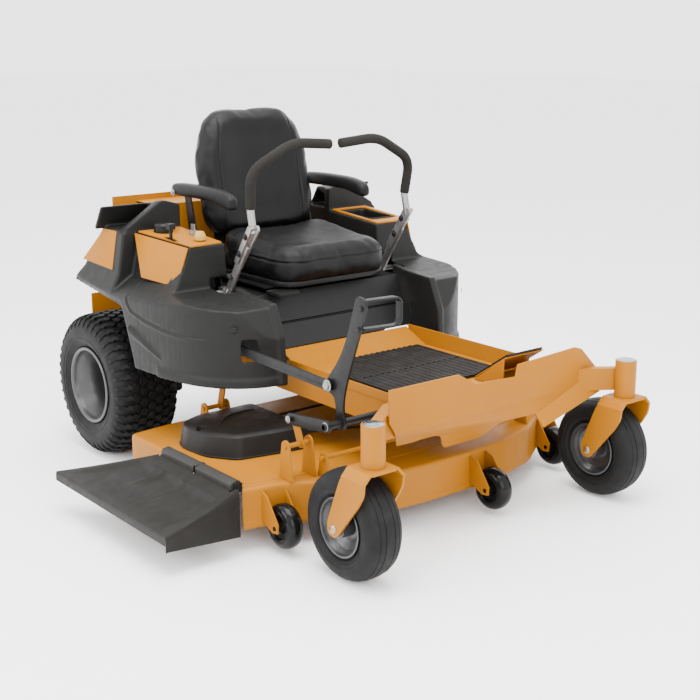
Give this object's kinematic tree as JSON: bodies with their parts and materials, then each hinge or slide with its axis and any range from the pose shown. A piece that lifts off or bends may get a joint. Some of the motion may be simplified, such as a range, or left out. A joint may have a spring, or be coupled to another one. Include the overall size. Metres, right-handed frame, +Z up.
{
  "type": "zero turn mower",
  "caption": "Ride-on zero turn lawn mower with two control levers, a padded seat, moulded side pods, a belly cutting deck with a hinged discharge chute, front casters and turf drive wheels.",
  "frame": {"origin": "centre of the whole machine's footprint, on the ground", "axes": "+X towards the operator's left, -X towards the discharge side, +Y towards the rear (the machine faces -Y), +Z up"},
  "size_m": [1.652, 1.881, 1.254],
  "materials": {
    "body_paint": "powder coat, satin",
    "deck_paint": "powder coat, satin",
    "dark_steel": "satin",
    "bright_steel": "zinc plated",
    "blade_steel": "ground edge",
    "dark_plastic": "moulded, fine grain",
    "black_plastic": "moulded",
    "roller_plastic": "glossy",
    "knob_yellow": "glossy",
    "arm_plastic": "soft touch",
    "seat_vinyl": "vinyl, slight sheen",
    "tyre_rubber": "matte",
    "rim_paint": "satin grey",
    "grip_foam": "foam",
    "mat_rubber": "ribbed",
    "belt_rubber": "matte",
    "engine_metal": "cast",
    "cast_housing": "painted black"
  },
  "bodies": {
    "chassis": {"frame": "body_paint", "front_plate": "body_paint", "foot_pan": "body_paint", "floor_mat": "mat_rubber", "seat_base_panel": "dark_steel", "pod_left": "dark_plastic", "pod_right": "dark_plastic", "pod_panels": "body_paint", "rear_cover": "body_paint", "rear_guard": "body_paint", "engine_block": "engine_metal", "engine_shroud": "black_plastic", "muffler": "dark_steel", "transaxles": "cast_housing", "battery": "black_plastic", "fuel_tank": "black_plastic"},
    "rear_wheel_left": {"rear_tyre_left": "tyre_rubber", "rear_rim_left": "rim_paint"},
    "rear_wheel_right": {"rear_tyre_right": "tyre_rubber", "rear_rim_right": "rim_paint"},
    "caster_left": {"caster_fork_left": "body_paint"},
    "caster_right": {"caster_fork_right": "body_paint"},
    "caster_wheel_left": {"caster_tyre_left": "tyre_rubber", "caster_rim_left": "rim_paint"},
    "caster_wheel_right": {"caster_tyre_right": "tyre_rubber", "caster_rim_right": "rim_paint"},
    "lever_base_left": {"lever_foot_left": "bright_steel"},
    "lever_base_right": {"lever_foot_right": "bright_steel"},
    "lever_left": {"lever_arm_left": "bright_steel", "lever_grip_left": "grip_foam"},
    "lever_right": {"lever_arm_right": "bright_steel", "lever_grip_right": "grip_foam"},
    "seat_mount": {"seat_plate": "dark_steel"},
    "seat": {"seat_pan": "dark_steel", "seat_cushion": "seat_vinyl", "seat_back": "seat_vinyl"},
    "armrest_left": {"armrest_left": "arm_plastic"},
    "armrest_right": {"armrest_right": "arm_plastic"},
    "seat_slide_lever": {"seat_slide_lever": "dark_steel"},
    "fuel_cap": {"fuel_cap": "black_plastic"},
    "blade_switch": {"blade_switch": "knob_yellow"},
    "throttle": {"throttle_lever": "black_plastic"},
    "key": {"ignition_key": "bright_steel"},
    "lift_lever": {"lift_lever": "dark_steel"},
    "lift_link": {"lift_link": "dark_steel"},
    "lift_crank": {"lift_crank": "dark_steel"},
    "deck": {"deck_top": "deck_paint", "deck_skirts": "deck_paint", "deck_brackets": "dark_steel", "belt_covers": "dark_plastic", "spindle_housings": "cast_housing", "deck_belt": "belt_rubber", "chute_hinge": "body_paint"},
    "chute": {"chute": "dark_plastic"},
    "blade_left": {"blade_left": "blade_steel"},
    "blade_mid": {"blade_mid": "blade_steel"},
    "blade_right": {"blade_right": "blade_steel"},
    "roller_left": {"roller_left": "roller_plastic"},
    "roller_front": {"roller_front": "roller_plastic"},
    "roller_right": {"roller_right": "roller_plastic"}
  },
  "joints": [
    {"name": "rear_wheel_left_spin", "type": "hinge", "parent": "chassis", "child": "rear_wheel_left", "pos_m": [0.638, 0.6785, 0.262], "axis": [1, 0, 0], "continuous": true},
    {"name": "caster_left_swivel", "type": "hinge", "parent": "chassis", "child": "caster_left", "pos_m": [0.675, -0.8605, 0.361], "axis": [0, 0, 1], "continuous": true},
    {"name": "caster_wheel_left_spin", "type": "hinge", "parent": "caster_left", "child": "caster_wheel_left", "pos_m": [0.675, -0.7755, 0.165], "axis": [1, 0, 0], "continuous": true},
    {"name": "lever_left_drive", "type": "hinge", "parent": "chassis", "child": "lever_base_left", "pos_m": [0.476, 0.1815, 0.655], "axis": [1, 0, 0], "range_deg": [-12, 16]},
    {"name": "lever_left_swing", "type": "hinge", "parent": "lever_base_left", "child": "lever_left", "pos_m": [0.476, 0.1595, 0.659], "axis": [0, 1, 0], "range_deg": [0, 20]},
    {"name": "armrest_left_lift", "type": "hinge", "parent": "seat", "child": "armrest_left", "pos_m": [0.428, 0.5395, 0.962], "axis": [-1, 0, 0], "range_deg": [0, 90]},
    {"name": "rear_wheel_right_spin", "type": "hinge", "parent": "chassis", "child": "rear_wheel_right", "pos_m": [-0.366, 0.6785, 0.262], "axis": [1, 0, 0], "continuous": true},
    {"name": "caster_right_swivel", "type": "hinge", "parent": "chassis", "child": "caster_right", "pos_m": [-0.403, -0.8605, 0.361], "axis": [0, 0, 1], "continuous": true},
    {"name": "caster_wheel_right_spin", "type": "hinge", "parent": "caster_right", "child": "caster_wheel_right", "pos_m": [-0.403, -0.7755, 0.165], "axis": [1, 0, 0], "continuous": true},
    {"name": "lever_right_drive", "type": "hinge", "parent": "chassis", "child": "lever_base_right", "pos_m": [-0.204, 0.1815, 0.655], "axis": [1, 0, 0], "range_deg": [-12, 16]},
    {"name": "lever_right_swing", "type": "hinge", "parent": "lever_base_right", "child": "lever_right", "pos_m": [-0.204, 0.1595, 0.659], "axis": [0, -1, 0], "range_deg": [0, 20]},
    {"name": "armrest_right_lift", "type": "hinge", "parent": "seat", "child": "armrest_right", "pos_m": [-0.156, 0.5395, 0.962], "axis": [-1, 0, 0], "range_deg": [0, 90]},
    {"name": "seat_tilt", "type": "hinge", "parent": "chassis", "child": "seat_mount", "pos_m": [0.136, 0.0075, 0.56], "axis": [1, 0, 0], "range_deg": [0, 28]},
    {"name": "seat_slide", "type": "slide", "parent": "seat_mount", "child": "seat", "axis": [0, -1, 0], "range_m": [-0.06, 0.03]},
    {"name": "seat_slide_release", "type": "hinge", "parent": "seat_mount", "child": "seat_slide_lever", "pos_m": [-0.08, 0.0355, 0.67], "axis": [-1, 0, 0], "range_deg": [0, 5]},
    {"name": "chute_lift", "type": "hinge", "parent": "deck", "child": "chute", "pos_m": [-0.572, -0.0905, 0.214], "axis": [0, 1, 0], "range_deg": [0, 80]},
    {"name": "deck_lift", "type": "slide", "parent": "chassis", "child": "deck", "axis": [0, 0, 1], "range_m": [0, 0.06]},
    {"name": "lift_lever_turn", "type": "hinge", "parent": "chassis", "child": "lift_lever", "pos_m": [0.136, -0.5945, 0.398], "axis": [1, 0, 0], "range_deg": [0, 20]},
    {"name": "lift_link_turn", "type": "hinge", "parent": "lift_lever", "child": "lift_link", "pos_m": [-0.316, -0.5475, 0.506], "axis": [1, 0, 0], "range_deg": [-20, 0]},
    {"name": "lift_crank_turn", "type": "hinge", "parent": "chassis", "child": "lift_crank", "pos_m": [0.136, -0.0675, 0.415], "axis": [1, 0, 0], "range_deg": [0, 20]},
    {"name": "blade_right_spin", "type": "hinge", "parent": "deck", "child": "blade_right", "pos_m": [-0.294, -0.0905, 0.09], "axis": [0, 0, 1], "continuous": true},
    {"name": "blade_mid_spin", "type": "hinge", "parent": "deck", "child": "blade_mid", "pos_m": [0.136, -0.2605, 0.09], "axis": [0, 0, 1], "continuous": true},
    {"name": "blade_left_spin", "type": "hinge", "parent": "deck", "child": "blade_left", "pos_m": [0.566, -0.0905, 0.09], "axis": [0, 0, 1], "continuous": true},
    {"name": "roller_front_spin", "type": "hinge", "parent": "deck", "child": "roller_front", "pos_m": [0.255, -0.6825, 0.085], "axis": [1, 0, 0], "continuous": true},
    {"name": "roller_right_spin", "type": "hinge", "parent": "deck", "child": "roller_right", "pos_m": [-0.456, -0.5125, 0.085], "axis": [1, 0, 0], "continuous": true},
    {"name": "roller_left_spin", "type": "hinge", "parent": "deck", "child": "roller_left", "pos_m": [0.728, -0.5125, 0.085], "axis": [1, 0, 0], "continuous": true},
    {"name": "fuel_cap_turn", "type": "hinge", "parent": "chassis", "child": "fuel_cap", "pos_m": [-0.304, 0.4035, 0.848], "axis": [0, 0, 1], "range_deg": [0, 180]},
    {"name": "blade_switch_pull", "type": "slide", "parent": "chassis", "child": "blade_switch", "axis": [0, 0, 1], "range_m": [0, 0.01]},
    {"name": "throttle_turn", "type": "hinge", "parent": "chassis", "child": "throttle", "pos_m": [-0.338, 0.2965, 0.78], "axis": [1, 0, 0], "range_deg": [-20, 20]},
    {"name": "key_turn", "type": "hinge", "parent": "chassis", "child": "key", "pos_m": [-0.236, 0.3195, 0.8425], "axis": [0, 0, 1], "range_deg": [0, 90]}
  ],
  "couplings": [
    {"joint": "lift_lever_turn", "follows": "deck_lift", "rad_per_m": 5.65},
    {"joint": "lift_link_turn", "follows": "deck_lift", "rad_per_m": -5.65},
    {"joint": "lift_crank_turn", "follows": "deck_lift", "rad_per_m": 5.65},
    {"joint": "blade_left_spin", "follows": "blade_mid_spin", "ratio": 1},
    {"joint": "blade_right_spin", "follows": "blade_mid_spin", "ratio": 1}
  ]
}
